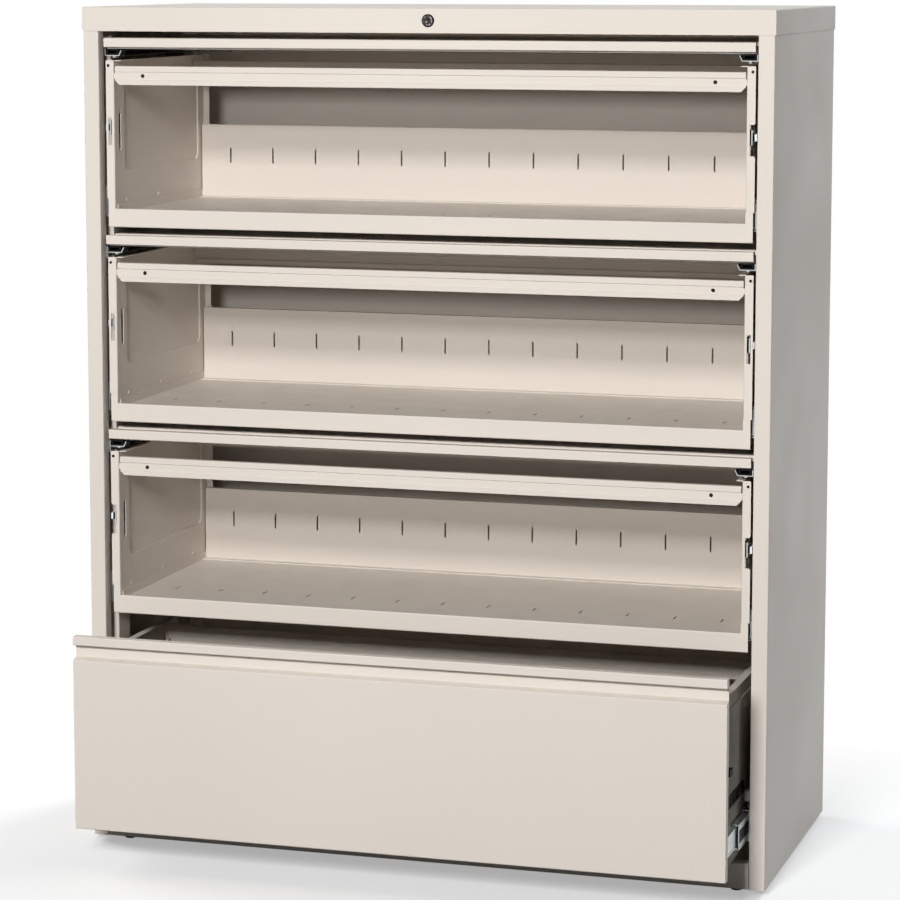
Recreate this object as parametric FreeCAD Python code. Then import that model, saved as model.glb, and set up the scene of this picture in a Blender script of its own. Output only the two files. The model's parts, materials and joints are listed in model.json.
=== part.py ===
import FreeCAD, Part
import math
import os

Vector = FreeCAD.Vector
os.makedirs("parts", exist_ok=True)

# Lateral filing cabinet, in millimetres. The origin is on the floor under the middle of the case.
# X runs to the right, Y runs from the front to the back and Z runs up.

# Overall size
case_width = 1066.8
case_depth = 473.1
base_height = 55.5
row_pitch = 300.0
cap_gap = 3.4
cap_height = 36.5

# Sheet metal
sheet = 1.2
bend = 2.0
seam = 0.2
running_clearance = 0.05
sliding_gap = 0.3
same_point = 0.0001

# Case
cap_round = 2.2
stile_width = 24.2
stile_depth = 20.0
rear_flange = 16.0
back_hem = 12.0
top_rail_depth = 20.0
top_rail_height = 30.0
kick_setback = 2.0
kick_gap = 7.8
kick_end_gap = 0.8
pan_flange = 36.0

# Slotted uprights on which the slides hang
upright_places = (65.8, 358.8)
upright_width = 40.0
upright_foot = 12.0
upright_slot_width = 4.0
upright_slot_height = 18.0

# Fronts: the drawer front and the three doors share this section
front_thickness = 16.5
front_side_gap = 5.5
front_row_gap = 1.5
lip_depth = 13.5
lip_face = 14.0
lip_back = 10.0
groove_depth = 12.0
groove_height = 18.5
groove_slope = 4.0
liner_flange = 6.0

# Roll-out frames, and the drawer, which is the same frame behind a front
rollout_setback = 15.0
frame_length = 372.0
drawer_open = 138.0
side_drop = 41.0
side_flange = 10.0
ear_side_gap = 6.0
frame_bottom_gap = 5.2
tray_lip_height = 28.3
tray_lip_depth = 7.3
tray_lip_rise = 6.0
tray_lip_return = 14.0
tray_side_flange = 12.0
tray_ear_rise = 15.5
tray_ear_inset = 2.0
back_plate_setback = 12.0
back_plate_height = 117.5
back_plate_flange = 14.0
back_plate_hem = 10.0
slot_pitch = 73.0
slot_count = 13
slot_width = 2.6
slot_length = 24.0
back_slot_rise = 68.0
floor_slot_place = 112.0

# Stamped panel, hand slot and catch notch in the frame sides
emboss_front = 38.0
emboss_rear = 24.0
emboss_low = 84.0
emboss_high = 20.0
emboss_depth = 2.5
emboss_corner = 9.0
side_slot_place = 22.0
side_slot_width = 9.0
side_slot_chamfer = 2.8
side_slot_length = 57.0
side_slot_rise = 122.0
notch_height = 45.0
notch_depth = 8.0
notch_rise = 130.5
notch_chamfer = 2.0
notch_slot_width = 5.5
notch_slot_height = 42.0
open_notches = {"left": (3,), "right": (1, 3)}

# Hang rails
rail_drop = 49.5
rail_height = 28.5
rail_top_band = 8.5
rail_middle_band = 12.0
rail_step = 1.5
rail_step_height = 1.0
rail_hook = 6.5
rail_depth = 8.0
rail_setback = 1.0
rail_end_gap = 1.8
rail_rear_place = 320.0
rail_chamfer = 7.0
clip_thickness = 5.3
clip_margin = 1.5
clip_chamfer = 1.0

# Telescopic slides with three members and the ball cages between them
slide_thickness = 14.0
slide_height = 45.7
slide_rise = 16.7
slide_place = 8.0
slide_lip = 3.0
outer_length = 400.0
outer_width = 11.5
middle_length = 390.0
middle_width = 9.4
inner_width = 8.0
race_gap = 2.6
cage_width = 3.0
cage_length = 190.0

# Catches on the frames and the interlock straps that they work
catch_bracket_width = 7.0
catch_bracket_height = 22.0
catch_reach = 13.7
catch_height = 10.0
catch_length = 20.0
catch_place = 3.0
catch_rise = 152.0
strap_width = 13.3
strap_thickness = 2.0
strap_inset = 0.3
strap_end_gap = 12.0
strap_window_width = 6.0
strap_window_height = 60.0

# Receding doors with their tracks
door_play = 1.8
door_drop = 7.0
door_setback = 9.0
track_setback = 17.5
track_length = 410.0
track_wall_height = 22.0
track_web_width = 23.3
clip_length = 20.0
clip_flare = 4.0
clip_rise = 8.2
pad_inset = 1.5
pad_pocket = 2.5
pad_wall = 2.5
bolt_head_width = 7.0
bolt_head_height = 3.0
bolt_neck_width = 4.0
bolt_inset = 12.3
axle_radius = 4.5
roller_width = 8.5
roller_end_gap = 1.0
axle_place = 26.9
knuckle_wall = 1.5
knuckle_width = 60.0
knuckle_inset = 74.3

# Lock in the cap
lock_offset = 16.0
bezel_radius = 9.75
bezel_height = 2.0
bezel_taper = 0.8
barrel_radius = 8.0
barrel_length = 23.7
plug_radius = 5.5
plug_recess = 0.8
keyway_width = 1.6
keyway_height = 7.0
keyway_depth = 6.0
cam_thickness = 2.5
cam_width = 12.0
cam_length = 20.0

# Levelling glides
glide_height = 9.0
glide_radius = 11.0
glide_pad = 3.5
glide_neck_width = 13.0
glide_stem_radius = 4.0
glide_stem_length = 32.0
glide_inset = 49.4
glide_setback = 32.0
weld_nut_width = 13.0
weld_nut_height = 6.0

# Places worked out from the sizes above
rows = (1, 2, 3, 4)
drawer_row = rows[-1]
rollout_rows = rows[:-1]
front = -case_depth / 2
rear = case_depth / 2
case_height = base_height + len(rows) * row_pitch + cap_gap + cap_height
cap_bottom = case_height - cap_height
case_half = case_width / 2 - sheet
case_front = front + sheet
case_rear = rear - sheet
side_top = case_height - cap_round
stile_inner = case_half - stile_width
front_half = stile_inner - front_side_gap
front_height = row_pitch - 2 * front_row_gap
hanging_plane = front_half + door_play
wall_outer = hanging_plane - slide_thickness
wall_inner = wall_outer - sheet
ear_outer = stile_inner - ear_side_gap
lock_height = case_height - cap_height / 2
floor_rise = frame_bottom_gap + tray_lip_height - tray_lip_rise
inner_length = frame_length - slide_place


def row_top(row):
    return base_height + (len(rows) + 1 - row) * row_pitch


def row_bottom(row):
    return row_top(row) - row_pitch


def frame_front(row):
    """Front plane of a roll-out frame, or of the drawer's frame where the drawer stands open."""
    if row == drawer_row:
        return front + front_thickness - drawer_open
    return front + rollout_setback


# The three views in which sections are drawn
def plan(point):
    return Vector(point.x, point.y, 0)


def side_view(point):
    return Vector(0, point.x, point.y)


def front_view(point):
    return Vector(point.x, 0, point.y)


# Shapes that several pieces share
def block(x, y, z):
    """Box between two X values, two Y values and two Z values."""
    low = Vector(min(x), min(y), min(z))
    return Part.makeBox(max(x) - low.x, max(y) - low.y, max(z) - low.z, low)


def cylinder(radius, start, end):
    """Cylinder from one point to another."""
    axis = Vector(*end) - Vector(*start)
    return Part.makeCylinder(radius, axis.Length, Vector(*start), axis)


def hexagon(across_flats, start, height):
    """Six-sided block standing on a point."""
    radius = across_flats / (2 * math.cos(math.pi / 6))
    corners = [Vector(*start) + Vector(radius * math.cos(turn), radius * math.sin(turn), 0)
               for turn in [number * math.pi / 3 for number in range(6)]]
    return Part.Face(Part.makePolygon(corners + corners[:1])).extrude(Vector(0, 0, height))


def mirrored(shape):
    """The same piece on the other side of the cabinet."""
    return shape.mirror(Vector(0, 0, 0), Vector(1, 0, 0))


def both_sides(shape):
    return [shape, mirrored(shape)]


def moved(shape, x=0.0, y=0.0, z=0.0):
    copy = shape.copy()
    copy.translate(Vector(x, y, z))
    return copy


def fused(shapes):
    return shapes[0].fuse(shapes[1:]).removeSplitter()


def rounded_wire(corners, view):
    """Closed wire through (across, up, radius) corners, with an arc at each corner that has a radius."""
    points = [Vector(across, up, 0) for across, up, radius in corners]
    stops = []
    for number, (across, up, radius) in enumerate(corners):
        corner = points[number]
        if radius <= 0:
            stops.append((corner, None, corner))
            continue
        back = (points[number - 1] - corner).normalize()
        ahead = (points[(number + 1) % len(points)] - corner).normalize()
        half = back.getAngle(ahead) / 2
        reach = radius / math.tan(half)
        middle = corner + (back + ahead).normalize() * (radius / math.sin(half) - radius)
        stops.append((corner + back * reach, middle, corner + ahead * reach))
    edges = []
    for number, (start, middle, end) in enumerate(stops):
        if middle is not None:
            edges.append(Part.Arc(view(start), view(middle), view(end)).toShape())
        following = stops[(number + 1) % len(stops)][0]
        if (following - end).Length > same_point:
            edges.append(Part.makeLine(view(end), view(following)))
    return Part.Wire(edges)


def profile(corners, view, along):
    """Solid of a rounded outline drawn out along a vector."""
    return Part.Face(rounded_wire(corners, view)).extrude(along)


def offset_path(path, distance):
    """The same path moved to its left, with mitred corners."""
    points = [Vector(across, up, 0) for across, up in path]
    normals = []
    for start, end in zip(points, points[1:]):
        step = (end - start).normalize()
        normals.append(Vector(-step.y, step.x, 0))
    result = []
    for number, point in enumerate(points):
        before = normals[max(number - 1, 0)]
        after = normals[min(number, len(normals) - 1)]
        total = before + after
        mitre = total * (2 * distance / total.dot(total))
        result.append((point.x + mitre.x, point.y + mitre.y))
    return result


def bent_sheet(path, view, along, rounded=None):
    """Sheet folded along a path that is its right-hand face, then drawn out along a vector.

    The outside of every fold is rounded, or only that of the corners whose numbers are given.
    """
    other = offset_path(path, sheet)
    near = []
    far = []
    for number, (across, up) in enumerate(path):
        near_radius = far_radius = 0.0
        if 0 < number < len(path) - 1 and (rounded is None or number in rounded):
            before = Vector(across - path[number - 1][0], up - path[number - 1][1], 0)
            after = Vector(path[number + 1][0] - across, path[number + 1][1] - up, 0)
            if before.cross(after).z > 0:
                near_radius = bend
            else:
                far_radius = bend
        near.append((across, up, near_radius))
        far.append((other[number][0], other[number][1], far_radius))
    return profile(near + far[::-1], view, along)


def chamfered(across, up, chamfer):
    """Outline of a rectangle between two values each way, with its corners cut off."""
    (left, right), (low, high) = across, up
    return [(left + chamfer, low, 0), (right - chamfer, low, 0),
            (right, low + chamfer, 0), (right, high - chamfer, 0),
            (right - chamfer, high, 0), (left + chamfer, high, 0),
            (left, high - chamfer, 0), (left, low + chamfer, 0)]


# Case
def case_side():
    """Right side with the front stile, its return and the rear flange folded from one sheet."""
    path = [(stile_inner, case_front + stile_depth), (stile_inner, case_front), (case_half, case_front),
            (case_half, case_rear), (case_half - rear_flange, case_rear)]
    wall = bent_sheet(path, plan, Vector(0, 0, side_top - glide_height), rounded=(1, 2, 3))
    return moved(wall, z=glide_height)


def case_back():
    """Back sheet with a hem at its top and bottom, behind the rear flanges of the sides."""
    half = case_half - sheet
    face = case_rear - sheet
    path = [(face - back_hem, glide_height), (face, glide_height),
            (face, side_top), (face - back_hem, side_top)]
    return moved(bent_sheet(path, side_view, Vector(2 * half, 0, 0), rounded=()), x=-half)


def top_cap():
    """Cap that sits over the case like a lid, with rounded upper edges and a hole for the lock."""
    outer = block((-case_width / 2, case_width / 2), (front, rear), (cap_bottom, case_height))
    upper_edges = [edge for edge in outer.Edges if edge.BoundBox.ZMin > cap_bottom + seam]
    outer = outer.makeFillet(cap_round, upper_edges)
    inner = block((-case_half, case_half), (case_front, case_rear), (cap_bottom - sheet, case_height - sheet))
    return outer.cut(inner).cut(lock_hole())


def lock_hole():
    """Hole for the barrel through the cap and the rail behind it."""
    start = (lock_offset, front - sheet, lock_height)
    end = (lock_offset, case_front + 2 * sheet, lock_height)
    return cylinder(barrel_radius + running_clearance, start, end)


def top_rail():
    """Rail behind the front of the cap, which ties the two stiles and carries the lock."""
    back = case_front + top_rail_depth
    high = cap_bottom + top_rail_height
    path = [(back, high), (case_front, high), (case_front, cap_bottom), (back, cap_bottom)]
    rail = moved(bent_sheet(path, side_view, Vector(2 * stile_inner, 0, 0), rounded=(2,)), x=-stile_inner)
    return rail.cut(lock_hole())


def kick_rail():
    """Rail between the feet of the stiles, welded to the front of the bottom pan."""
    face = case_front + kick_setback
    back = case_front + stile_depth + seam
    top = base_height - kick_gap
    half = stile_inner - kick_end_gap
    path = [(back, top), (face, top), (face, glide_height), (back, glide_height)]
    return moved(bent_sheet(path, side_view, Vector(2 * half, 0, 0), rounded=(1,)), x=-half)


def glide_places():
    across = case_width / 2 - glide_inset
    return [(x, y) for y in (front + glide_setback, rear - glide_setback) for x in (-across, across)]


def bottom_pan():
    """Bottom of the case, turned up all round, with a weld nut over each glide."""
    half = case_half - sheet
    start = case_front + stile_depth + seam
    end = case_rear - 2 * sheet - back_hem
    top = glide_height + pan_flange
    path = [(-half, top), (-half, glide_height), (half, glide_height), (half, top)]
    pan = moved(bent_sheet(path, front_view, Vector(0, end - start, 0), rounded=()), y=start)
    walls = []
    for y in (start, end - sheet):
        walls.append(block((-half + sheet, half - sheet), (y, y + sheet), (glide_height, top)))
    nuts = []
    holes = []
    for x, y in glide_places():
        low = glide_height + sheet
        nuts.append(hexagon(weld_nut_width, (x, y, low), weld_nut_height))
        holes.append(cylinder(glide_stem_radius + running_clearance, (x, y, 0), (x, y, top)))
    pan = fused([pan] + walls + nuts)
    for hole in holes:
        pan = pan.cut(hole)
    return pan


def slotted_upright(place):
    """Hat section welded to the right side of the case, with a slot for the hook of each slide."""
    wall = case_half - sheet
    web = hanging_plane + sheet
    middle = front + place
    low = middle - upright_width / 2
    high = middle + upright_width / 2
    bottom = glide_height + pan_flange
    path = [(wall, low - upright_foot), (wall, low), (web, low),
            (web, high), (wall, high), (wall, high + upright_foot)]
    post = moved(bent_sheet(path, plan, Vector(0, 0, cap_bottom - bottom), rounded=()), z=bottom)
    for row in rows:
        slot = block((hanging_plane - sheet, web + sheet),
                     (middle - upright_slot_width / 2, middle + upright_slot_width / 2),
                     (slide_level(row) - upright_slot_height / 2, slide_level(row) + upright_slot_height / 2))
        post = post.cut(slot)
    return post


def leveling_glide(x, y):
    """Glide with a round foot, a neck for the wrench and a stem that screws into the weld nut."""
    neck_top = glide_height - seam
    foot = cylinder(glide_radius, (x, y, 0), (x, y, glide_pad))
    neck = hexagon(glide_neck_width, (x, y, glide_pad), neck_top - glide_pad)
    stem = cylinder(glide_stem_radius, (x, y, neck_top), (x, y, glide_stem_length))
    return fused([foot, neck, stem])


# Telescopic slides
def slide_level(row):
    return row_bottom(row) + frame_bottom_gap + slide_rise + slide_height / 2


def slide_member(x_web, direction, half, width, length, start, level):
    """Channel with lips. Its web is at x_web, and its lips point along the direction, -1 or 1."""
    tip = x_web + direction * width
    path = [(tip, -half + slide_lip), (tip, -half), (x_web, -half),
            (x_web, half), (tip, half), (tip, half - slide_lip)]
    channel = bent_sheet(path[::-direction], front_view, Vector(0, length, 0), rounded=())
    return moved(channel, y=start, z=level)


def outer_member(row):
    half = slide_height / 2
    start = front + rollout_setback + slide_place
    return slide_member(hanging_plane, -1, half, outer_width, outer_length, start, slide_level(row))


def middle_start(row):
    open_share = drawer_open / 2 if row == drawer_row else 0.0
    return front + rollout_setback + slide_place - open_share


def middle_member(row):
    """Middle member with the cages of its outer race at the rear and those of its inner race in front."""
    half = slide_height / 2 - sheet - race_gap
    web = hanging_plane - sheet - sliding_gap
    start = middle_start(row)
    level = slide_level(row)
    member = slide_member(web, -1, half, middle_width, middle_length, start, level)
    cages = []
    height = race_gap - sliding_gap
    centre = web - middle_width / 2
    for side in (-1, 1):
        outer = (level + side * half, level + side * (half + height))
        cages.append(block((centre - cage_width / 2, centre + cage_width / 2),
                           (start + middle_length - cage_length, start + middle_length), outer))
        inner = (level + side * (half - sheet), level + side * (half - sheet - height))
        cages.append(block((centre - cage_width / 2, centre + cage_width / 2),
                           (start, start + cage_length), inner))
    return [member] + cages


def inner_member(row):
    half = slide_height / 2 - 2 * (sheet + race_gap)
    start = frame_front(row) + slide_place
    return slide_member(wall_outer, 1, half, inner_width, inner_length, start, slide_level(row))


def catch(row):
    """Zinc bracket on the side of a frame, with the nylon block that works the interlock strap."""
    start = frame_front(row) + catch_place
    low = row_bottom(row) + catch_rise
    middle = low + catch_height / 2
    bracket = block((wall_outer, wall_outer + catch_bracket_width), (start, start + catch_length),
                    (middle - catch_bracket_height / 2, middle + catch_bracket_height / 2))
    pocket = block((wall_outer + sheet, wall_outer + catch_bracket_width - sheet),
                   (start + sheet, start + catch_length + sheet),
                   (middle - catch_bracket_height, middle + catch_bracket_height))
    nub = block((wall_outer + catch_bracket_width, wall_outer + catch_reach), (start, start + catch_length),
                (low, low + catch_height))
    return [bracket.cut(pocket), nub]


# Roll-out frames
def stamped_panel(row, wall_x):
    """Shallow panel pressed outwards in a side: the raised outline and the hollow behind it."""
    start = frame_front(row)
    y = (start + emboss_front, start + frame_length - emboss_rear)
    z = (row_bottom(row) + frame_bottom_gap + emboss_low, row_top(row) - side_drop - emboss_high)

    through = Vector(sheet + emboss_depth, 0, 0)
    raised = profile(chamfered(y, z, emboss_corner), side_view, through)
    inner = chamfered((y[0] + sheet, y[1] - sheet), (z[0] + sheet, z[1] - sheet), emboss_corner - sheet)
    return moved(raised, x=wall_x), moved(profile(inner, side_view, through), x=wall_x - sheet)


def hand_slot(row):
    """Upright slot near the front of a side."""
    middle = frame_front(row) + side_slot_place
    low = row_bottom(row) + side_slot_rise
    half = side_slot_width / 2
    outline = chamfered((middle - half, middle + half), (low, low + side_slot_length), side_slot_chamfer)
    return moved(profile(outline, side_view, Vector(3 * sheet, 0, 0)), x=wall_inner - sheet)


def ear_cut(row, hand):
    """Notch, open to the outer edge of the ear, or a closed slot, for the catch behind the ear."""
    start = frame_front(row)
    through = Vector(0, 3 * sheet, 0)
    low = row_bottom(row) + notch_rise
    if row in open_notches[hand]:
        inner = ear_outer - notch_depth
        high = low + notch_height
        edge = ear_outer + notch_chamfer
        outline = [(inner, low, 0), (ear_outer - notch_chamfer, low, 0), (edge, low - 2 * notch_chamfer, 0),
                   (edge, high + 2 * notch_chamfer, 0), (ear_outer - notch_chamfer, high, 0), (inner, high, 0)]
        return moved(profile(outline, front_view, through), y=start - sheet)
    middle = (wall_outer + ear_outer) / 2 - seam
    half = notch_slot_width / 2
    return block((middle - half, middle + half), (start - sheet, start + 2 * sheet),
                 (low, low + notch_slot_height))


def frame_side(row, hand):
    """Right side with its front ear, rear and top flanges, a stamped panel, a hand slot and a catch notch."""
    start = frame_front(row)
    end = start + frame_length
    low = row_bottom(row) + frame_bottom_gap
    high = row_top(row) - side_drop
    floor = row_bottom(row) + floor_rise
    edge = wall_inner - side_flange
    path = [(edge, end - sheet), (wall_inner, end - sheet), (wall_inner, start), (ear_outer, start)]
    wall = moved(bent_sheet(path, plan, Vector(0, 0, high - low), rounded=(2,)), z=low)
    flange = block((edge, wall_inner + sheet / 2), (start + 2 * sheet + bend, end - sheet / 2),
                   (high - sheet, high))
    raised, hollow = stamped_panel(row, wall_inner)
    side = fused([wall, flange, raised])
    cuts = [hollow, hand_slot(row)]
    if row != drawer_row:
        cuts.append(ear_cut(row, hand))
        lip_top = floor + tray_lip_rise
        cuts.append(block((edge, ear_outer + sheet),
                          (start - sheet, start + tray_lip_depth + seam), (low - sheet, lip_top + seam)))
        cuts.append(block((wall_inner - sheet, ear_outer + sheet), (start - sheet, start + sheet + bend + seam),
                          (low - sheet, lip_top + tray_ear_rise + seam)))
    for cut in cuts:
        side = side.cut(cut)
    return side


def floor_slots(row):
    """Divider slots in the floor of a tray, one for each slot of the back plate."""
    y = frame_front(row) + floor_slot_place
    z = row_bottom(row) + floor_rise
    return [block((x - slot_width / 2, x + slot_width / 2), (y - slot_length / 2, y + slot_length / 2),
                  (z - 2 * sheet, z + sheet)) for x in slot_places()]


def slot_places():
    return [(number - slot_count // 2) * slot_pitch for number in range(slot_count)]


def tray(row):
    """Floor of a frame. On a roll-out its front edge is folded into a deep lip with an ear at each end."""
    start = frame_front(row)
    end = start + frame_length - sheet
    low = row_bottom(row) + frame_bottom_gap
    floor = row_bottom(row) + floor_rise
    inner = wall_inner - seam
    if row == drawer_row:
        path = [(end, floor), (start, floor), (start, low)]
        body = moved(bent_sheet(path, side_view, Vector(2 * inner, 0, 0), rounded=()), x=-inner)
        flange_start = start + sheet
    else:
        half = ear_outer - tray_ear_inset
        lip_top = floor + tray_lip_rise
        lip_back = start + tray_lip_depth
        path = [(end, floor), (lip_back, floor), (lip_back, lip_top), (start, lip_top), (start, low),
                (start + tray_lip_return, low)]
        body = moved(bent_sheet(path, side_view, Vector(2 * half, 0, 0), rounded=(3, 4)), x=-half)
        ear_low = lip_top - sheet - 2 * bend
        ear = block((wall_inner, half), (start, start + sheet), (ear_low, lip_top + tray_ear_rise))
        body = fused([body] + both_sides(ear))
        waste = block((inner, half + sheet), (lip_back + seam / 2, end + sheet), (low - sheet, lip_top + sheet))
        for cut in both_sides(waste):
            body = body.cut(cut)
        flange_start = lip_back + bend
    flange = block((inner - sheet, inner), (flange_start, end), (floor - sheet, floor + tray_side_flange))
    body = fused([body] + both_sides(flange))
    if row != drawer_row:
        for slot in floor_slots(row):
            body = body.cut(slot)
    return body


def back_plate(row):
    """Plate behind the folders, hemmed at the top. On a roll-out it has a slot for each divider."""
    face = frame_front(row) + frame_length - back_plate_setback
    floor = row_bottom(row) + floor_rise
    top = floor + back_plate_height
    half = wall_inner - seam - sheet
    path = [(face + back_plate_hem, top), (face, top),
            (face, floor + sheet), (face - back_plate_flange, floor + sheet)]
    plate = moved(bent_sheet(path, side_view, Vector(2 * half, 0, 0), rounded=()), x=-half)
    middle = floor + back_slot_rise
    for x in slot_places() if row != drawer_row else []:
        plate = plate.cut(block((x - slot_width / 2, x + slot_width / 2), (face - sheet, face + 2 * sheet),
                                (middle - slot_length / 2, middle + slot_length / 2)))
    return plate


# Hang rails
def rail_places(row):
    start = frame_front(row)
    return [start + rail_setback, start + rail_rear_place]


def hang_rail(row, face):
    """Rail in three bands, with a hooked top for the folders, an end tongue and a chamfered lower band."""
    top = row_top(row) - rail_drop
    bottom = top - rail_height
    first = top - rail_top_band
    second = first - rail_middle_band
    recessed = face + rail_step
    half = rail_half(row)
    path = [(face + rail_depth, top - rail_hook), (face + rail_depth, top), (face, top), (face, first),
            (recessed, first - rail_step_height), (recessed, second), (face, second - rail_step_height),
            (face, bottom), (face + rail_depth, bottom)]
    rail = moved(bent_sheet(path, side_view, Vector(2 * half, 0, 0), rounded=(2,)), x=-half)
    if row != drawer_row:
        tongue = block((half - bend, wall_inner), (recessed, recessed + sheet),
                       (second + sheet, first - rail_step_height - sheet))
        rail = fused([rail] + both_sides(tongue))
    corner = [(half, bottom + rail_chamfer, 0), (half - rail_chamfer, bottom, 0),
              (half - rail_chamfer, bottom - sheet, 0), (half + sheet, bottom - sheet, 0),
              (half + sheet, bottom + rail_chamfer, 0)]
    chamfer = profile(corner, front_view, Vector(0, rail_depth + 2 * sheet, 0))
    for cut in both_sides(moved(chamfer, y=face - sheet)):
        rail = rail.cut(cut)
    return rail


def rail_half(row):
    return wall_inner - (clip_thickness if row == drawer_row else rail_end_gap)


def rail_clip(row, face):
    """Plastic clip between the end of a drawer rail and the side of the drawer."""
    top = row_top(row) - rail_drop + clip_margin
    bottom = top - rail_height - 2 * clip_margin
    y = (face - clip_margin / 2, face + rail_depth + clip_margin)
    outline = chamfered(y, (bottom, top), clip_chamfer)
    return moved(profile(outline, side_view, Vector(clip_thickness, 0, 0)), x=wall_inner - clip_thickness)


# Drawer front and doors
def door_edge():
    return front + door_setback


def front_views(row):
    """Where the section of a front goes: upright on the drawer, and lying face up on a receded door."""
    if row == drawer_row:
        face = front - drawer_open
        top = row_top(row) - front_row_gap
        return lambda point: Vector(0, face + point.y, top - point.x)
    edge = door_edge()
    top = row_top(row) - door_drop
    return lambda point: Vector(0, edge + point.x, top - point.y)


def front_skin(row):
    """Outer sheet with its lip, finger groove and panel, closed by a cap at each end."""
    view = front_views(row)
    groove_end = lip_face + groove_height
    panel_start = groove_end + groove_slope
    half = front_half - sheet
    path = [(lip_back, lip_depth), (0, lip_depth), (0, 0), (lip_face, 0), (lip_face, groove_depth),
            (groove_end, groove_depth), (panel_start, 0), (front_height, 0), (front_height, front_thickness)]
    skin = moved(bent_sheet(path, view, Vector(2 * half, 0, 0), rounded=(2, 3, 6, 7)), x=-half)
    inner = front_thickness - sheet
    outline = [(0, lip_depth, 0), (0, 0, bend), (lip_face, 0, bend), (lip_face, groove_depth, 0),
               (groove_end, groove_depth, 0), (panel_start, 0, bend), (front_height, 0, bend),
               (front_height, inner, 0), (lip_back, inner, 0), (lip_back, lip_depth, 0)]
    end_cap = moved(profile(outline, view, Vector(sheet, 0, 0)), x=half)
    return fused([skin] + both_sides(end_cap))


def front_liner(row):
    """Inner sheet of a drawer front or a door, which closes its back."""
    far = front_height - sheet
    path = [(far, front_thickness - liner_flange), (far, front_thickness),
            (lip_back, front_thickness), (lip_back, lip_depth)]
    half = front_half - sheet
    return moved(bent_sheet(path, front_views(row), Vector(2 * half, 0, 0), rounded=()), x=-half)


# Door running gear
def door_underside(row):
    return row_top(row) - door_drop - front_thickness


def axle_centre(row):
    y = door_edge() + front_height - axle_place
    return y, door_underside(row) - sliding_gap - axle_radius


def track_level(row):
    """Top of a track's web, on which the rollers run."""
    return axle_centre(row)[1] - axle_radius - sliding_gap


def door_knuckle(row):
    """Cradle under the door that holds the axle."""
    y, z = axle_centre(row)
    bore = axle_radius + running_clearance
    outer = bore + knuckle_wall
    middle = hanging_plane - knuckle_inset
    x = (middle - knuckle_width / 2, middle + knuckle_width / 2)
    cradle = block(x, (y - outer, y + outer), (z - outer, door_underside(row)))
    corner = bore * (1 - math.tan(math.pi / 8))
    high = door_underside(row) + sheet
    outline = [(y - bore, high, 0), (y - bore, z - bore + corner, 0), (y - bore + corner, z - bore, 0),
               (y + bore - corner, z - bore, 0), (y + bore, z - bore + corner, 0), (y + bore, high, 0)]
    groove = profile(outline, side_view, Vector(knuckle_width + 2 * sheet, 0, 0))
    return cradle.cut(moved(groove, x=x[0] - sheet))


def roller_ends():
    outer = hanging_plane - sheet - roller_end_gap
    return outer - roller_width, outer


def door_axle(row):
    """Steel rod with a nylon roller pressed against each end."""
    y, z = axle_centre(row)
    inner, outer = roller_ends()
    rod = cylinder(axle_radius, (-inner, y, z), (inner, y, z))
    roller = cylinder(axle_radius, (inner, y, z), (outer, y, z))
    return [rod] + both_sides(roller)


def door_track(row):
    """Right-hand track: an angle on the slotted uprights, with a flared clip at its front."""
    bottom = track_level(row) - sheet
    inner = hanging_plane - track_web_width
    path = [(inner, bottom), (hanging_plane, bottom), (hanging_plane, bottom + track_wall_height)]
    angle = bent_sheet(path, front_view, Vector(0, track_length, 0), rounded=())
    lip_path = [(inner - clip_flare, bottom + clip_rise), (inner, bottom), (inner + clip_flare, bottom)]
    lip = bent_sheet(lip_path, front_view, Vector(0, clip_length, 0), rounded=())
    track = moved(fused([angle, lip]), y=front + track_setback)
    return track.cut(bolt_neck(bottom - sheet, bottom + 2 * sheet))


def bolt_place():
    return hanging_plane - bolt_inset, front + track_setback + clip_length / 2


def bolt_neck(low, high):
    """Square neck that keeps a pad's bolt from turning, and the hole that it fills."""
    x, y = bolt_place()
    half = bolt_neck_width / 2
    return block((x - half, x + half), (y - half, y + half), (low, high))


def door_pad(row):
    """Nylon pad in the clip of a track, hollow at the front, on which the door slides."""
    low = track_level(row)
    high = door_underside(row) - sliding_gap
    inner = hanging_plane - track_web_width + pad_inset
    outer = hanging_plane - sheet - pad_inset
    start = front + track_setback
    pad = block((inner, outer), (start, start + clip_length), (low, high))
    pad = pad.cut(block((inner + pad_wall, outer - pad_wall), (start - sheet, start + clip_length - pad_wall),
                        (low + pad_pocket, high - pad_wall)))
    return pad.cut(bolt_neck(low - sheet, low + pad_pocket + sheet))


def pad_bolt(row):
    """Bolt that holds the pad, with its hexagonal head under the track and a square neck."""
    x, y = bolt_place()
    under = track_level(row) - sheet
    head = hexagon(bolt_head_width, (x, y, under - bolt_head_height), bolt_head_height)
    return fused([head, bolt_neck(under, under + sheet + pad_pocket)])


# Interlock
def interlock_strap():
    """Strap behind the right stile, with a window for the catch of each row."""
    low_x = stile_inner + strap_inset
    y = (case_front + stile_depth + sliding_gap, case_front + stile_depth + sliding_gap + strap_thickness)
    strap = block((low_x, low_x + strap_width), y,
                  (glide_height + pan_flange + strap_end_gap, cap_bottom - strap_end_gap))
    centre = low_x + strap_width / 2
    across = (centre - strap_window_width / 2, centre + strap_window_width / 2)
    through = (y[0] - sheet, y[1] + sheet)
    for row in rows:
        z = row_bottom(row) + catch_rise + catch_height / 2
        window = block(across, through, (z - strap_window_height / 2, z + strap_window_height / 2))
        strap = strap.cut(window)
    return strap


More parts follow.
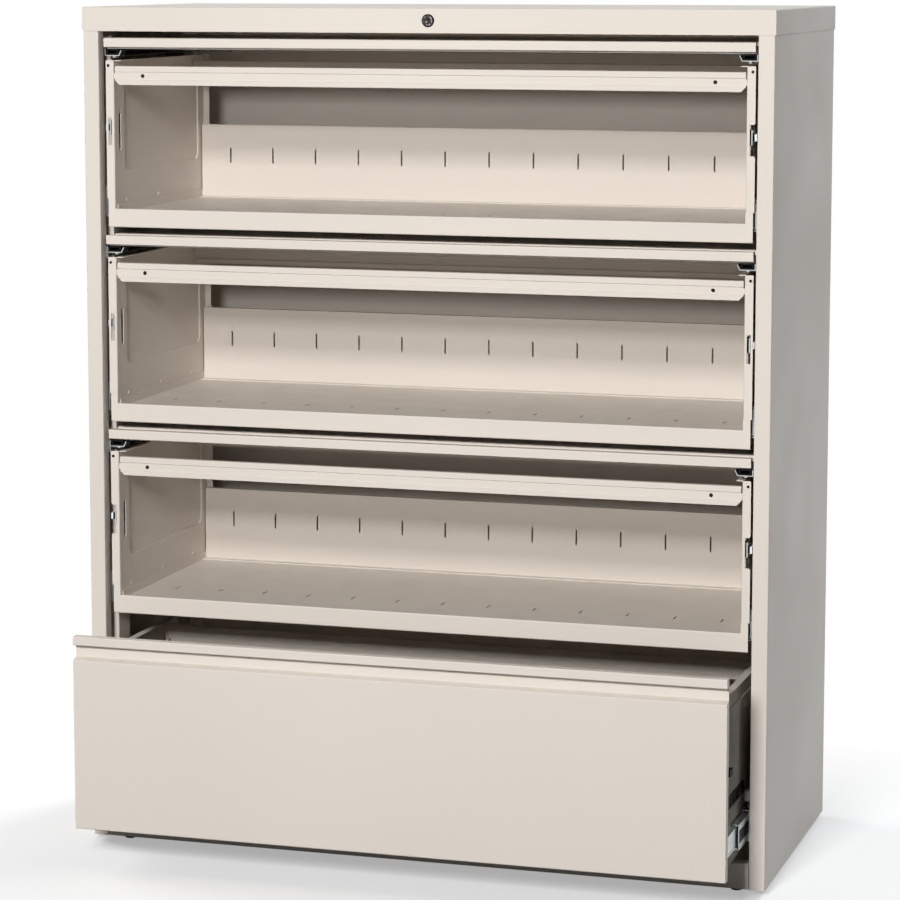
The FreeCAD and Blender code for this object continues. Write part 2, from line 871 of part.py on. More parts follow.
# Lock
def lock_housing():
    """Barrel with its bezel, pushed through the cap and the top rail."""
    face = front - bezel_height
    end = front + barrel_length
    bezel = Part.makeCone(bezel_radius - bezel_taper, bezel_radius, bezel_height,
                          Vector(lock_offset, face, lock_height), Vector(0, 1, 0))
    barrel = cylinder(barrel_radius, (lock_offset, front, lock_height), (lock_offset, end, lock_height))
    bore = cylinder(plug_radius + running_clearance, (lock_offset, face - sheet, lock_height),
                    (lock_offset, end + sheet, lock_height))
    return fused([bezel, barrel]).cut(bore)


def lock_plug():
    """Plug with its keyway, as long as the barrel that it turns in."""
    face = front - bezel_height + plug_recess
    end = front + barrel_length + sliding_gap
    plug = cylinder(plug_radius, (lock_offset, face, lock_height), (lock_offset, end, lock_height))
    keyway = block((lock_offset - keyway_width / 2, lock_offset + keyway_width / 2),
                   (face - sheet, face + keyway_depth),
                   (lock_height - keyway_height / 2, lock_height + keyway_height / 2))
    return plug.cut(keyway)


def lock_cam():
    """Cam on the end of the plug, pointing down while the lock is open."""
    start = front + barrel_length + sliding_gap
    half = cam_width / 2
    outline = chamfered((-half, half), (half - cam_length, half), bend)
    cam = profile(outline, front_view, Vector(0, cam_thickness, 0))
    return moved(cam, x=lock_offset, y=start, z=lock_height)


# Assembly
def root_pieces():
    uprights = [slotted_upright(place) for place in upright_places]
    return {
        "case_side_left": [mirrored(case_side())],
        "case_side_right": [case_side()],
        "case_back": [case_back()],
        "top_cap": [top_cap()],
        "top_rail": [top_rail()],
        "kick_rail": [kick_rail()],
        "bottom_pan": [bottom_pan()],
        "slotted_uprights": uprights + [mirrored(upright) for upright in uprights],
        "leveling_glides": [leveling_glide(x, y) for x, y in glide_places()],
        "slide_outer_members": [solid for row in rows for solid in both_sides(outer_member(row))],
        "door_tracks": [solid for row in rollout_rows for solid in both_sides(door_track(row))],
        "door_pads": [solid for row in rollout_rows for solid in both_sides(door_pad(row))],
        "pad_bolts": [solid for row in rollout_rows for solid in both_sides(pad_bolt(row))],
        "interlock_straps": both_sides(interlock_strap()),
        "lock_housing": [lock_housing()],
        "lock_plug": [lock_plug()],
        "lock_cam": [lock_cam()],
    }


def frame_pieces(row, name):
    inner = [solid for piece in [inner_member(row)] + catch(row) for solid in both_sides(piece)]
    return {
        f"{name}_side_left": [mirrored(frame_side(row, "left"))],
        f"{name}_side_right": [frame_side(row, "right")],
        f"{name}_tray": [tray(row)],
        f"{name}_back_plate": [back_plate(row)],
        f"{name}_hang_rails": [hang_rail(row, face) for face in rail_places(row)],
        f"{name}_slide_inner": inner,
        f"{name}_slide_middle": [solid for piece in middle_member(row) for solid in both_sides(piece)],
    }


def door_pieces(row):
    return {
        f"door_{row}_skin": [front_skin(row)],
        f"door_{row}_liner": [front_liner(row)],
        f"door_{row}_knuckles": both_sides(door_knuckle(row)),
        f"door_{row}_axle": door_axle(row),
    }


def drawer_pieces():
    clips = [solid for face in rail_places(drawer_row) for solid in both_sides(rail_clip(drawer_row, face))]
    return {
        "drawer_front": [front_skin(drawer_row)],
        "drawer_liner": [front_liner(drawer_row)],
        "drawer_rail_clips": clips,
    }


pieces = root_pieces()
for row in rollout_rows:
    pieces.update(frame_pieces(row, f"rollout_{row}"))
    pieces.update(door_pieces(row))
pieces.update(frame_pieces(drawer_row, "drawer"))
pieces.update(drawer_pieces())

for name, solids in pieces.items():
    shape = solids[0] if len(solids) == 1 else Part.makeCompound(solids)
    shape.exportStep(f"parts/{name}.step")
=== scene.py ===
"""Looks of a four-high lateral filing cabinet: three rows of roll-out file frames whose doors are
pushed back above them, and a fixed-front bottom drawer that stands part open. Lengths are metres,
in the cabinet's own frame: x to the right, y to the back, z up from the floor."""

import json
import math

import bmesh
import bpy
import numpy as np
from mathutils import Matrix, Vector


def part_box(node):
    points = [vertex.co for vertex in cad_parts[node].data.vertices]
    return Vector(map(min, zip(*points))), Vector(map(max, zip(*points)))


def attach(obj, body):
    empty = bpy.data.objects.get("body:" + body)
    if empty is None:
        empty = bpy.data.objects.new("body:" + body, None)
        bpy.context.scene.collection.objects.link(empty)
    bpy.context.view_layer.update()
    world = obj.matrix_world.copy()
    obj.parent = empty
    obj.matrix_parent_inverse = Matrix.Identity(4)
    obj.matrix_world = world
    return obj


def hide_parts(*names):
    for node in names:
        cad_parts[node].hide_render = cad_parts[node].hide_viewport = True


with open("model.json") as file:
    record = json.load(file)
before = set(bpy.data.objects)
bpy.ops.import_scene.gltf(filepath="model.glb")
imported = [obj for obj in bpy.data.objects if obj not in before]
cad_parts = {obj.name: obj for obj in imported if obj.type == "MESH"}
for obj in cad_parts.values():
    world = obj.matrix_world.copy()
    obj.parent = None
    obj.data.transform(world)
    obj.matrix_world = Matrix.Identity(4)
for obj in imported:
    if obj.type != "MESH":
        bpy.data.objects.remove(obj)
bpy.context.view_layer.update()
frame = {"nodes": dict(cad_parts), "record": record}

# Places on the cabinet that the added pieces share
ROLLOUTS = (1, 2, 3)
DRAWER_ROW = 4
ROW_TOPS = {1: 1.2555, 2: 0.9555, 3: 0.6555, 4: 0.3555}
ROW_PITCH = 0.300
FRAME_FRONTS = {1: -0.22155, 2: -0.22155, 3: -0.22155, 4: -0.35805}
CASE_REAR = 0.23655
WALL_OUTER = 0.4903  # outer face of a frame's right side wall
WALL_INNER = 0.4891  # inner face of that wall
EAR_EDGE = 0.502  # outer edge of a frame's right ear
HANGING_PLANE = 0.5043  # face of the uprights, where the slides hang
SLIDE_RISE = 0.04475  # middle of a slide above the foot of its row
SLIDE_FRONT = -0.21355  # front ends of the slides' middle members, where a frame is pushed in
DRAWER_MIDDLE_OUT = 0.069  # how far the drawer's middle members stand forward, half its opening
LOCK_CENTRE = (0.016, 1.27715)  # x and z of the lock's axis

# Colours, as the paint and plating look in plain light (linear red, green, blue)
PUTTY = (0.715, 0.652, 0.588)
PUTTY_INSIDE = (0.62, 0.565, 0.505)
PUTTY_WORN = (0.80, 0.75, 0.69)
DUST_GREY = (0.52, 0.50, 0.46)
PLATED_ZINC = (0.78, 0.84, 0.83)
ZINC_SHADOW = (0.52, 0.55, 0.56)
ZINC_EDGE = (0.74, 0.74, 0.73)
GREASE = (0.34, 0.29, 0.19)
STEEL = (0.62, 0.61, 0.59)
STEEL_EDGE = (0.66, 0.68, 0.68)
OILED_GREY = (0.16, 0.15, 0.14)
# Lock chrome: a colour for painted glints and highlights, then a dark base that is painted dark
# reflection
CHROME_PAINTED_GLINT = (0.50, 0.49, 0.50)
CHROME_PAINTED_DARK_REFLECTION = (0.075, 0.07, 0.07)
PLUG_FACE = (0.085, 0.06, 0.05)
RIM_SHADOW = (0.02, 0.018, 0.017)
BRONZE_GREY = (0.014, 0.013, 0.012)
SCREW_BLACK = (0.006, 0.006, 0.006)
ENAMEL_RUBBED = (0.020, 0.020, 0.021)
# Black nylon; also the painted shade on the door tracks and on the slides' catches
BLACK_NYLON_AND_PAINTED_SHADE = (0.006, 0.006, 0.0065)
NYLON_CREAM = (0.80, 0.73, 0.57)
NYLON_WHITE = (0.80, 0.81, 0.83)
PAPER_WHITE = (0.93, 0.93, 0.93)
PAPER_LIGHT = (0.95, 0.95, 0.95)
PAPER_THROWN = (0.15, 0.15, 0.15)  # the floor's colour for the light that it throws up
WHITE = (1.0, 1.0, 1.0)
SKY_WHITE = (0.90, 0.95, 1.0)


# Node helpers

def join(tree, source, target):
    """Links an output socket to an input, or sets the input to a number, vector or colour."""
    if isinstance(source, (int, float, tuple)):
        target.default_value = source
    else:
        tree.links.new(source, target)


def node(tree, kind, **settings):
    """A shader node of that kind. Settings name its properties, or its inputs by their names with
    underscores for spaces."""
    made = tree.nodes.new(kind)
    for key, value in settings.items():
        if hasattr(made, key):
            setattr(made, key, value)
        else:
            made.inputs[key.replace("_", " ")].default_value = value
    return made


def maths(tree, operation, first, second=0.0, clamp=False):
    """first (operation) second, where either is a socket or a number."""
    made = node(tree, "ShaderNodeMath", operation=operation, use_clamp=clamp)
    join(tree, first, made.inputs[0])
    join(tree, second, made.inputs[1])
    return made.outputs[0]


def plus(tree, first, second):
    """first + second."""
    return maths(tree, "ADD", first, second)


def minus(tree, first, second):
    """first - second."""
    return maths(tree, "SUBTRACT", first, second)


def times(tree, first, second, clamp=False):
    """first x second, held in 0..1 where clamp is set."""
    return maths(tree, "MULTIPLY", first, second, clamp)


def weighted(tree, share, first, second):
    """A share of the first value, and the rest of the second."""
    return plus(tree, times(tree, first, share), times(tree, second, 1 - share))


def vectors(tree, operation, *values):
    """A vector operation on points or directions, each a socket or a tuple."""
    made = node(tree, "ShaderNodeVectorMath", operation=operation)
    for value, slot in zip(values, made.inputs):
        join(tree, value, slot)
    return made.outputs["Value" if operation in ("LENGTH", "DOT_PRODUCT") else "Vector"]


def axes(tree, vector):
    """The outputs X, Y and Z of a vector socket."""
    made = tree.nodes.new("ShaderNodeSeparateXYZ")
    join(tree, vector, made.inputs[0])
    return made.outputs


def blend_colour(tree, share, first, second):
    """A mix of two colours, each a socket or a linear colour, by a share of the second."""
    made = node(tree, "ShaderNodeMix", data_type="RGBA")
    join(tree, share, made.inputs[0])
    for value, slot in zip((first, second), made.inputs[6:8]):
        join(tree, (*value, 1) if isinstance(value, tuple) else value, slot)
    return made.outputs[2]


def noise(tree, where, scale, detail=3.0, rough=0.5):
    """Cloudy noise from 0 to 1 at a point socket, with scale features per metre."""
    made = node(tree, "ShaderNodeTexNoise", Detail=detail, Roughness=rough)
    join(tree, where, made.inputs["Vector"])
    join(tree, scale, made.inputs["Scale"])
    return made.outputs["Fac"]


def steps(tree, value, low, high):
    """A value spread from 0 at low to 1 at high, and held at 0 and 1 beyond them."""
    made = node(tree, "ShaderNodeMapRange", clamp=True, From_Min=low, From_Max=high)
    join(tree, value, made.inputs["Value"])
    return made.outputs["Result"]


def object_point(tree):
    """Where a point is on the cabinet, in metres."""
    return tree.nodes.new("ShaderNodeTexCoord").outputs["Object"]


def effect(name, inputs, outputs):
    """An empty effect group with named number inputs and outputs, as its tree, the sockets of its
    inputs and the sockets of its outputs."""
    tree = bpy.data.node_groups.new(name, "ShaderNodeTree")
    for socket, value in inputs.items():
        made = tree.interface.new_socket(socket, in_out="INPUT", socket_type="NodeSocketFloat")
        made.default_value = value
    for socket in outputs:
        tree.interface.new_socket(socket, in_out="OUTPUT", socket_type="NodeSocketFloat")
    given = tree.nodes.new("NodeGroupInput").outputs
    return tree, given, tree.nodes.new("NodeGroupOutput").inputs


def place(tree, name, **values):
    """The outputs of an effect group that is placed in a material with its own values."""
    made = tree.nodes.new("ShaderNodeGroup")
    made.node_tree = bpy.data.node_groups[name]
    for key, value in values.items():
        made.inputs[key.replace("_", " ")].default_value = value
    return made.outputs


# Effects that several finishes share

def make_coat_grain():
    """Baked powder coat: a fine orange peel, lower waves under it, and pin specks of lighter
    powder."""
    inputs = {"Peel per metre": 700.0, "Speck share": 0.5}
    tree, given, result = effect("coat_grain", inputs, ("Height", "Speck"))
    where = object_point(tree)
    peel = noise(tree, where, given["Peel per metre"], detail=2.0, rough=0.55)
    waves = noise(tree, where, 60.0, detail=2.0)
    join(tree, weighted(tree, 0.6, peel, waves), result["Height"])
    pins = steps(tree, noise(tree, where, 1900.0, detail=1.0, rough=0.4), 0.62, 0.74)
    join(tree, times(tree, pins, given["Speck share"]), result["Speck"])


def make_edge_wear():
    """A mask that is 1 on outward edges: how far a rounded normal turns from the face, broken up
    by noise."""
    inputs = {"Edge width": 0.001, "Amount": 0.5}
    tree, given, result = effect("edge_wear", inputs, ("Mask",))
    rounded = node(tree, "ShaderNodeBevel", samples=3)
    join(tree, given["Edge width"], rounded.inputs["Radius"])
    flat = tree.nodes.new("ShaderNodeNewGeometry").outputs["Normal"]
    alike = vectors(tree, "DOT_PRODUCT", rounded.outputs["Normal"], flat)
    turned_away = steps(tree, minus(tree, 1.0, alike), 0.02, 0.22)
    clouds = noise(tree, object_point(tree), 160.0, detail=4.0, rough=0.6)
    worn = times(tree, turned_away, steps(tree, clouds, 0.35, 0.7))
    join(tree, times(tree, worn, given["Amount"], clamp=True), result["Mask"])


def make_settled_dust():
    """Dust that lies on faces that look up, in drifts."""
    inputs = {"Amount": 0.4, "Drifts per metre": 22.0}
    tree, given, result = effect("settled_dust", inputs, ("Mask",))
    normal = axes(tree, tree.nodes.new("ShaderNodeNewGeometry").outputs["Normal"])
    up = steps(tree, normal["Z"], 0.6, 1.0)
    clouds = noise(tree, object_point(tree), given["Drifts per metre"], detail=5.0, rough=0.65)
    lying = times(tree, up, steps(tree, clouds, 0.38, 0.72))
    join(tree, times(tree, lying, given["Amount"], clamp=True), result["Mask"])


def make_handling():
    """Soft, uneven gloss where hands and cloths have been: 0 is untouched and 1 well rubbed."""
    inputs = {"Patches per metre": 5.0, "Amount": 1.0}
    tree, given, result = effect("handling", inputs, ("Rubbed",))
    where = object_point(tree)
    wide = noise(tree, where, given["Patches per metre"])
    fine = noise(tree, where, 95.0, rough=0.6)
    patches = steps(tree, weighted(tree, 0.75, wide, fine), 0.36, 0.64)
    join(tree, times(tree, patches, given["Amount"], clamp=True), result["Rubbed"])


def make_rolled_streaks():
    """Long fine streaks of rolled or drawn metal. Each input is the features per metre along one
    axis, and the streaks run along the axis with the fewest."""
    inputs = {"Across x": 500.0, "Across y": 9.0, "Across z": 500.0}
    tree, given, result = effect("rolled_streaks", inputs, ("Streak",))
    spread = tree.nodes.new("ShaderNodeCombineXYZ")
    for axis, socket in zip("XYZ", inputs):
        join(tree, given[socket], spread.inputs[axis])
    stretched = vectors(tree, "MULTIPLY", object_point(tree), spread.outputs[0])
    join(tree, noise(tree, stretched, 1.0, detail=4.0, rough=0.6), result["Streak"])


def make_zinc_bloom():
    """The cloudy, faintly crystalline bloom of zinc plating: cells of a few millimetres and a wide
    cloud in equal shares."""
    tree, given, result = effect("zinc_bloom", {"Cells per metre": 240.0}, ("Bloom",))
    where = object_point(tree)
    cells = node(tree, "ShaderNodeTexVoronoi", feature="SMOOTH_F1")
    join(tree, where, cells.inputs["Vector"])
    join(tree, given["Cells per metre"], cells.inputs["Scale"])
    cloud = noise(tree, where, 30.0, detail=4.0, rough=0.6)
    both = weighted(tree, 0.5, cells.outputs["Distance"], cloud)
    join(tree, steps(tree, both, 0.25, 0.75), result["Bloom"])


for make_effect in (make_coat_grain, make_edge_wear, make_settled_dust, make_handling,
                    make_rolled_streaks, make_zinc_bloom):
    make_effect()


# Finishes

def new_finish(name, **sockets):
    """A material with one Principled shader, whose plain sockets are set here, as the material,
    its tree and the shader's inputs."""
    made = bpy.data.materials.new(name)
    made.use_nodes = True
    shader = made.node_tree.nodes["Principled BSDF"]
    for key, value in sockets.items():
        shader.inputs[key.replace("_", " ")].default_value = value
    return made, made.node_tree, shader.inputs


def bump(tree, shader, height, strength, distance):
    """A height in 0..1 as a bump on the shader, whose full step is distance metres."""
    made = node(tree, "ShaderNodeBump", Strength=strength, Distance=distance)
    join(tree, height, made.inputs["Height"])
    join(tree, made.outputs["Normal"], shader["Normal"])


def shaded(colour, share):
    """A colour at a share of its brightness."""
    return tuple(share * part for part in colour)


def streaks(tree, along, fine, coarse):
    """Streaks along one axis, with fine features per metre across them and coarse ones along."""
    across = {"Across_" + axis: coarse if axis == along else fine for axis in "xyz"}
    return place(tree, "rolled_streaks", **across)["Streak"]


def powder_coat(name, colour, rough, sheen, dust, wear):
    """Satin powder coat over steel: peel in the bump, specks, worn edges, settled dust and rubbed
    patches, on a tone that drifts by a few hundredths."""
    made, tree, shader = new_finish(name, IOR=1.5, Specular_IOR_Level=sheen)
    grain = place(tree, "coat_grain", Speck_share=0.35)
    edges = place(tree, "edge_wear", Edge_width=0.0011, Amount=wear)["Mask"]
    settled = place(tree, "settled_dust", Amount=dust)["Mask"]
    rubbed = place(tree, "handling")["Rubbed"]
    drift = steps(tree, noise(tree, object_point(tree), 2.2, detail=2.0), 0.3, 0.7)
    tone = blend_colour(tree, drift, colour, shaded(colour, 0.965))
    for mask, over in ((grain["Speck"], PUTTY_WORN), (edges, PUTTY_WORN), (settled, DUST_GREY)):
        tone = blend_colour(tree, mask, tone, over)
    join(tree, tone, shader["Base Color"])
    rough = minus(tree, rough + 0.05, times(tree, rubbed, 0.09))
    join(tree, plus(tree, rough, times(tree, settled, 0.35)), shader["Roughness"])
    bump(tree, shader, grain["Height"], strength=0.35, distance=0.00012)
    return made


def zinc_plate(name, along):
    """Bright zinc plate on rolled steel: streaks along one axis under a cloudy bloom, with a smear
    of grease."""
    made, tree, shader = new_finish(name, Metallic=1.0, IOR=1.5)
    streak = streaks(tree, along, 520.0, 9.0)
    bloom = place(tree, "zinc_bloom")["Bloom"]
    edges = place(tree, "edge_wear", Edge_width=0.0007, Amount=0.8)["Mask"]
    clouds = noise(tree, object_point(tree), 34.0, detail=4.0, rough=0.6)
    grease = steps(tree, clouds, 0.55, 0.75)
    tone = blend_colour(tree, bloom, PLATED_ZINC, ZINC_SHADOW)
    tone = blend_colour(tree, times(tree, grease, 0.35), tone, GREASE)
    join(tree, blend_colour(tree, edges, tone, ZINC_EDGE), shader["Base Color"])
    rough = plus(tree, times(tree, streak, 0.26), 0.24)
    join(tree, minus(tree, rough, times(tree, grease, 0.08)), shader["Roughness"])
    bump(tree, shader, streak, strength=0.25, distance=0.00006)
    return made


def polished_metal(name, colour, rough, along):
    """Turned or drawn bright metal, with hairlines and a faint tarnish."""
    made, tree, shader = new_finish(name, Metallic=1.0, IOR=1.5)
    streak = streaks(tree, along, 1500.0, 25.0)
    clouds = noise(tree, object_point(tree), 55.0, detail=4.0, rough=0.6)
    tarnish = times(tree, steps(tree, clouds, 0.45, 0.8), 0.5)
    join(tree, blend_colour(tree, tarnish, colour, shaded(colour, 0.72)), shader["Base Color"])
    join(tree, plus(tree, times(tree, streak, 0.14), rough), shader["Roughness"])
    bump(tree, shader, streak, strength=0.15, distance=0.00003)
    return made


def moulded_nylon(name, colour, rough, gloss=0.5):
    """Moulded nylon: a fine spark-eroded grain, slight mottling, scuffed edges."""
    made, tree, shader = new_finish(name, IOR=1.53, Specular_IOR_Level=gloss)
    where = object_point(tree)
    grain = noise(tree, where, 1500.0, detail=2.0)
    mottle = steps(tree, noise(tree, where, 70.0), 0.3, 0.75)
    edges = place(tree, "edge_wear", Edge_width=0.0006, Amount=0.5)["Mask"]
    scuffed = tuple(min(1.0, 1.25 * part + 0.01) for part in colour)
    tone = blend_colour(tree, mottle, colour, shaded(colour, 0.85))
    join(tree, blend_colour(tree, edges, tone, scuffed), shader["Base Color"])
    join(tree, plus(tree, times(tree, mottle, 0.12), rough), shader["Roughness"])
    bump(tree, shader, grain, strength=0.3, distance=0.00008)
    return made


def lock_metal(name):
    """Chrome round the lock, with a dark base colour that is painted dark reflection and bright
    blobs that are painted glints, and a brownish, key-scratched plug face with faint painted
    glints and its slanted keyway. Three bands of the distance from the lock's axis make the dark
    outer rim, which is painted shade, the dark seam and the plug. The keyway is a band of the
    distance from a line through that axis, 40 degrees from level, painted dark as the shade in its
    slot, and its lower left end carries a painted highlight."""
    made, tree, shader = new_finish(name, IOR=1.3, Specular_IOR_Level=0.2)
    centre_x, centre_z = LOCK_CENTRE
    centred = vectors(tree, "MULTIPLY_ADD", object_point(tree), (1, 0, 1),
                      (-centre_x, 0, -centre_z))
    radius = vectors(tree, "LENGTH", centred)
    rim = steps(tree, radius, 0.0070, 0.0075)
    seam = times(tree, steps(tree, radius, 0.0046, 0.0049), steps(tree, radius, 0.0058, 0.0055))
    plug = steps(tree, radius, 0.0049, 0.0046)
    slant = math.radians(40)
    off_line = vectors(tree, "DOT_PRODUCT", centred, (-math.sin(slant), 0, math.cos(slant)))
    along_line = vectors(tree, "DOT_PRODUCT", centred, (math.cos(slant), 0, math.sin(slant)))
    keyway = steps(tree, maths(tree, "ABSOLUTE", off_line), 0.0008, 0.0006)
    # Painted highlight on the keyway's lower left end
    painted_highlight_end = times(tree, keyway, steps(tree, along_line, -0.0004, -0.0010))
    hairlines = place(tree, "rolled_streaks", Across_x=260.0, Across_y=9.0,
                      Across_z=2400.0)["Streak"]
    # Painted glints: bright reflections painted into the chrome's colour by noise
    clouds = noise(tree, object_point(tree), 330.0, detail=2.0, rough=0.6)
    painted_glints = steps(tree, clouds, 0.50, 0.56)
    ring = blend_colour(tree, painted_glints, CHROME_PAINTED_DARK_REFLECTION, CHROME_PAINTED_GLINT)
    face = blend_colour(tree, times(tree, painted_glints, 0.12), PLUG_FACE, CHROME_PAINTED_GLINT)
    face = blend_colour(tree, keyway, face, RIM_SHADOW)
    face = blend_colour(tree, painted_highlight_end, face, CHROME_PAINTED_GLINT)
    tone = blend_colour(tree, plug, ring, face)
    # The dark rim is painted shade, and the seam is a dark joint
    dark = maths(tree, "MAXIMUM", rim, seam)
    join(tree, blend_colour(tree, dark, tone, RIM_SHADOW), shader["Base Color"])
    join(tree, minus(tree, 1.0, dark), shader["Metallic"])
    rough = plus(tree, times(tree, hairlines, 0.16), 0.16)
    join(tree, plus(tree, rough, times(tree, dark, 0.4)), shader["Roughness"])
    bump(tree, shader, hairlines, strength=0.2, distance=0.00004)
    return made


def black_wear_and_painted_shade(name, front, foot):
    """Black on a stamped plate, rubbed to bare metal along its edges and slots: thin black enamel
    on the latch plates, and painted shade on the door tracks, which are zinc. The first millimetre
    behind the depth front is bare too, up to 9.5 mm above foot in every row."""
    made, tree, shader = new_finish(name, IOR=1.5, Specular_IOR_Level=0.02)
    edges = place(tree, "edge_wear", Edge_width=0.0006, Amount=1.0)["Mask"]
    rubbed = place(tree, "handling", Patches_per_metre=40.0)["Rubbed"]
    grain = place(tree, "coat_grain", Peel_per_metre=1100.0, Speck_share=0.1)["Height"]
    point = axes(tree, object_point(tree))
    behind = steps(tree, point["Y"], front + 0.0014, front + 0.0010)
    above = maths(tree, "FLOORED_MODULO", minus(tree, point["Z"], foot - 0.0002), ROW_PITCH)
    cut = times(tree, behind, steps(tree, above, 0.0100, 0.0096))
    bare = maths(tree, "MAXIMUM", edges, cut)
    tone = blend_colour(tree, times(tree, rubbed, 0.3), BLACK_NYLON_AND_PAINTED_SHADE, ENAMEL_RUBBED)
    join(tree, blend_colour(tree, bare, tone, STEEL_EDGE), shader["Base Color"])
    join(tree, times(tree, bare, 0.95), shader["Metallic"])
    join(tree, minus(tree, 0.42, times(tree, rubbed, 0.14)), shader["Roughness"])
    bump(tree, shader, grain, strength=0.3, distance=0.0001)
    return made


def zinc_with_catches(name, nose_colour, strip_share):
    """Zinc slide members with catches. Higher than 120 mm in each row they are painted black as
    the shade in the catches' pockets, but for a nose of its own colour beyond |x| = 0.5007 and a
    bright strip, at strip_share, where |x| is 0.4958 to 0.4974."""
    made, tree, shader = new_finish(name, IOR=1.5, Specular_IOR_Level=0.03)
    streak = streaks(tree, "y", 520.0, 9.0)
    bloom = place(tree, "zinc_bloom")["Bloom"]
    edges = place(tree, "edge_wear", Edge_width=0.0007, Amount=0.6)["Mask"]
    point = axes(tree, object_point(tree))
    aside = maths(tree, "ABSOLUTE", point["X"])
    lowest_foot = ROW_TOPS[DRAWER_ROW] - ROW_PITCH
    in_row = maths(tree, "MODULO", minus(tree, point["Z"], lowest_foot), ROW_PITCH)
    catch = steps(tree, in_row, 0.12, 0.1201)
    strip = times(tree, steps(tree, aside, 0.4957, 0.4959), steps(tree, aside, 0.4975, 0.4973))
    strip = times(tree, strip, strip_share)
    nose = times(tree, catch, steps(tree, aside, 0.5006, 0.5008))
    # Painted shade: the catches' zinc is made black above 120 mm, except the strip
    black = times(tree, catch, minus(tree, 1.0, strip))
    tone = blend_colour(tree, bloom, PLATED_ZINC, ZINC_SHADOW)
    for mask, over in ((edges, ZINC_EDGE), (black, BLACK_NYLON_AND_PAINTED_SHADE), (nose, nose_colour)):
        tone = blend_colour(tree, mask, tone, over)
    join(tree, tone, shader["Base Color"])
    join(tree, minus(tree, 1.0, black), shader["Metallic"])
    rough = plus(tree, times(tree, streak, 0.22), 0.25)
    join(tree, plus(tree, rough, times(tree, black, 0.08)), shader["Roughness"])
    bump(tree, shader, streak, strength=0.2, distance=0.00006)
    return made


outer_coat = powder_coat("putty_powder_coat", PUTTY, rough=0.40, sheen=0.45, dust=0.22, wear=0.35)
inner_coat = powder_coat("inside_powder_coat", PUTTY_INSIDE, rough=0.62, sheen=0.02, dust=0.35,
                         wear=0.25)
slide_zinc = zinc_plate("zinc_slides", along="y")
bracket_zinc = zinc_plate("zinc_brackets", along="z")
bright_steel = polished_metal("bright_steel_rod", STEEL, rough=0.20, along="x")
oiled_steel = polished_metal("oiled_steel_rod", OILED_GREY, rough=0.34, along="x")
lock_chrome = lock_metal("polished_chrome")
# The black over the catches is painted shade; on the drawer's slides the nose and strip are
# painted shade too
catch_zinc = zinc_with_catches("zinc_white_nylon_painted_shade", NYLON_WHITE, strip_share=1.0)
drawer_catch_zinc = zinc_with_catches("zinc_painted_shade_black", BLACK_NYLON_AND_PAINTED_SHADE, strip_share=0.0)
bronzed_screw = moulded_nylon("bronzed_screw", BRONZE_GREY, rough=0.34, gloss=0.22)
black_screw = moulded_nylon("blackened_screw", SCREW_BLACK, rough=0.38, gloss=0.2)
white_nylon = moulded_nylon("white_nylon", NYLON_WHITE, rough=0.32)
black_nylon = moulded_nylon("black_nylon", BLACK_NYLON_AND_PAINTED_SHADE, rough=0.42, gloss=0.12)
cream_nylon = moulded_nylon("cream_nylon", NYLON_CREAM, rough=0.34)
# The latch plates start behind y = -0.32, so only their edges are bare
black_plate = black_wear_and_painted_shade("worn_black_enamel", front=-0.32, foot=0.0)
# The door tracks are zinc: their black is painted shade, with a bright bare front and edges
tracks_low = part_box("door_tracks")[0]
track_painted_shade = black_wear_and_painted_shade("track_black_painted_shade", front=tracks_low[1], foot=tracks_low[2])
finishes = {"paint": outer_coat, "inner_paint": inner_coat, "zinc": slide_zinc,
            "bright_steel": bright_steel, "chrome": lock_chrome, "black_nylon": black_nylon,
            "cream_plastic": cream_nylon}


def finish_of(piece_name, slot):
    """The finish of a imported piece: its own where it has one, and otherwise that of its slot."""
    if piece_name == "drawer_slide_inner":
        return drawer_catch_zinc
    if piece_name.endswith("slide_inner"):
        return catch_zinc
    # The door tracks' black finish is painted shade
    if piece_name == "door_tracks":
        return track_painted_shade
    if piece_name.endswith(("axle", "knuckles")):
        return oiled_steel
    return finishes[slot]


for entry in frame["record"]["subparts"]:
    slots = frame["nodes"][entry["node"]].data.materials
    slots.clear()
    slots.append(finish_of(entry["node"], entry["material_slot"]))


# Shapes of the added pieces

def skin_over(name, grid):
    """A mesh over a grid of points [copy, row, column, xyz] whose columns run round."""
    copies, rows, columns = grid.shape[:3]
    index = np.arange(copies * rows * columns).reshape(copies, rows, columns)
    beside = np.roll(index, -1, axis=2)
    corners = [index[:, :-1], index[:, 1:], beside[:, 1:], beside[:, :-1]]
    faces = np.stack(corners, axis=-1).reshape(-1, 4)
    mesh = bpy.data.meshes.new(name)
    mesh.from_pydata(grid.reshape(-1, 3).tolist(), [], faces.tolist())
    return mesh


def put_in_scene(name, data):
    """A new object of the scene that holds a mesh, a lamp or a lens."""
    made = bpy.data.objects.new(name, data)
    bpy.context.scene.collection.objects.link(made)
    return made


def surface(name, grid, body, finish):
    """A piece with a closed skin over a grid of points [copy, row, column, xyz]. Columns run round
    and rows run from one closed end to the other, where all the points of a row meet in one."""
    mesh = skin_over(name, grid)
    skin = bmesh.new()
    skin.from_mesh(mesh)
    bmesh.ops.remove_doubles(skin, verts=skin.verts, dist=0.000002)
    bmesh.ops.dissolve_degenerate(skin, edges=skin.edges, dist=0.000001)
    bmesh.ops.recalc_face_normals(skin, faces=skin.faces)
    skin.to_mesh(mesh)
    skin.free()
    mesh.materials.append(finish)
    made = put_in_scene(name, mesh)
    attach(made, body)
    return made


def full_turn(count):
    """Equal angles round a circle, one for each column of a grid."""
    return np.linspace(0, 2 * np.pi, count + 1)[:-1]


def both_sides(grid):
    """One grid, or copies of it, with their mirror images on the left of the cabinet."""
    copies = grid.reshape(-1, *grid.shape[-3:])
    return np.concatenate([copies, copies * (-1, 1, 1)])


